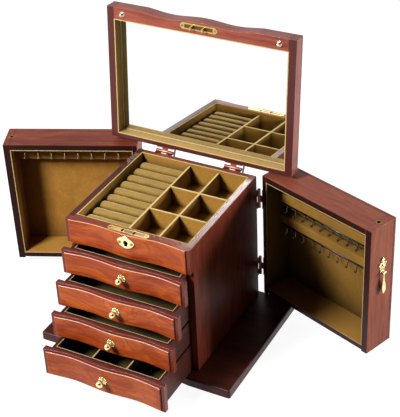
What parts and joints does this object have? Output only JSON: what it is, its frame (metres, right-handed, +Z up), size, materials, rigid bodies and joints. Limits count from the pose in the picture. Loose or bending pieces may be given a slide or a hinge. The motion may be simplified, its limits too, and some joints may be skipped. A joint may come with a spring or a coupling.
{
  "type": "jewelry box with drawers",
  "caption": "Serpentine-front wooden jewelry box with lined drawers, a locking mirrored lid over a ring tray, and hinged side doors with hooks for necklaces.",
  "frame": {"origin": "middle of the base's underside", "axes": "+X to the right seen from the front, -Y towards the front, +Z up"},
  "size_m": [0.6749, 0.3868, 0.4698],
  "materials": {
    "mahogany": "gloss lacquer on stained wood",
    "front_veneer": "gloss lacquer on figured veneer",
    "drawer_wood": "satin stain",
    "velvet": "short pile velvet",
    "brass": "polished",
    "hinge_brass": "polished, copper toned",
    "steel": "plain",
    "dark_steel": "satin black",
    "mirror_glass": "silvered"
  },
  "bodies": {
    "carcass": {"base_plinth": "mahogany", "left_side_panel": "mahogany", "right_side_panel": "mahogany", "back_panel": "mahogany", "lock_rail": "front_veneer", "shelf_boards": "drawer_wood", "tray_lining": "velvet", "tray_dividers": "velvet", "ring_rolls": "velvet", "lock_case": "steel", "lock_top_plate": "brass", "escutcheon": "brass", "carcass_screws": "hinge_brass", "carcass_hinge_leaves": "hinge_brass", "hinge_pins": "steel"},
    "lock_bolt": {"lock_bolt": "steel"},
    "lid": {"lid_front_rail": "front_veneer", "lid_frame_rails": "mahogany", "lid_top_panel": "mahogany", "mirror": "mirror_glass", "lid_lining": "velvet", "lid_strike_plate": "brass", "lid_pins": "brass", "lid_hinge_leaves": "hinge_brass", "lid_stop_arms": "dark_steel", "lid_screws": "hinge_brass"},
    "left_door": {"left_door_frame": "mahogany", "left_door_panel": "mahogany", "left_door_lining": "velvet", "left_hook_rails": "velvet", "left_hooks": "brass", "left_door_grommet": "brass", "left_door_hinge_leaves": "hinge_brass", "left_pull_plate": "brass"},
    "left_pull": {"left_pull_drop": "brass"},
    "right_door": {"right_door_frame": "mahogany", "right_door_panel": "mahogany", "right_door_lining": "velvet", "right_hook_rails": "velvet", "right_hooks": "brass", "right_door_grommet": "brass", "right_door_hinge_leaves": "hinge_brass", "right_pull_plate": "brass"},
    "right_pull": {"right_pull_drop": "brass"},
    "drawer_1": {"drawer_1_front": "front_veneer", "drawer_1_box": "drawer_wood", "drawer_1_lining": "velvet", "drawer_1_knob": "brass"},
    "drawer_2": {"drawer_2_front": "front_veneer", "drawer_2_box": "drawer_wood", "drawer_2_lining": "velvet", "drawer_2_knob": "brass"},
    "drawer_3": {"drawer_3_front": "front_veneer", "drawer_3_box": "drawer_wood", "drawer_3_lining": "velvet", "drawer_3_knob": "brass"},
    "drawer_4": {"drawer_4_front": "front_veneer", "drawer_4_box": "drawer_wood", "drawer_4_lining": "velvet", "drawer_4_knob": "brass"}
  },
  "joints": [
    {"name": "lid_hinge", "type": "hinge", "parent": "carcass", "child": "lid", "pos_m": [0, 0.12, 0.2422], "axis": [-1, 0, 0], "range_deg": [-95, 0]},
    {"name": "lock_bolt_slide", "type": "slide", "parent": "carcass", "child": "lock_bolt", "axis": [1, 0, 0], "range_m": [0, 0.003]},
    {"name": "left_door_hinge", "type": "hinge", "parent": "carcass", "child": "left_door", "pos_m": [-0.105, 0.12, 0], "axis": [0, 0, -1], "range_deg": [-67, 35]},
    {"name": "left_pull_hinge", "type": "hinge", "parent": "left_door", "child": "left_pull", "pos_m": [-0.33023, 0.05454, 0.1585], "axis": [-0.3907, 0.9205, 0], "range_deg": [0, 75]},
    {"name": "right_door_hinge", "type": "hinge", "parent": "carcass", "child": "right_door", "pos_m": [0.105, 0.12, 0], "axis": [0, 0, 1], "range_deg": [-70, 32]},
    {"name": "right_pull_hinge", "type": "hinge", "parent": "right_door", "child": "right_pull", "pos_m": [0.33335, 0.06642, 0.1585], "axis": [-0.342, -0.9397, 0], "range_deg": [0, 75]},
    {"name": "drawer_1_slide", "type": "slide", "parent": "carcass", "child": "drawer_1", "axis": [0, -1, 0], "range_m": [-0.0195, 0.1305]},
    {"name": "drawer_2_slide", "type": "slide", "parent": "carcass", "child": "drawer_2", "axis": [0, -1, 0], "range_m": [-0.0435, 0.1065]},
    {"name": "drawer_3_slide", "type": "slide", "parent": "carcass", "child": "drawer_3", "axis": [0, -1, 0], "range_m": [-0.064, 0.086]},
    {"name": "drawer_4_slide", "type": "slide", "parent": "carcass", "child": "drawer_4", "axis": [0, -1, 0], "range_m": [-0.095, 0.055]}
  ]
}
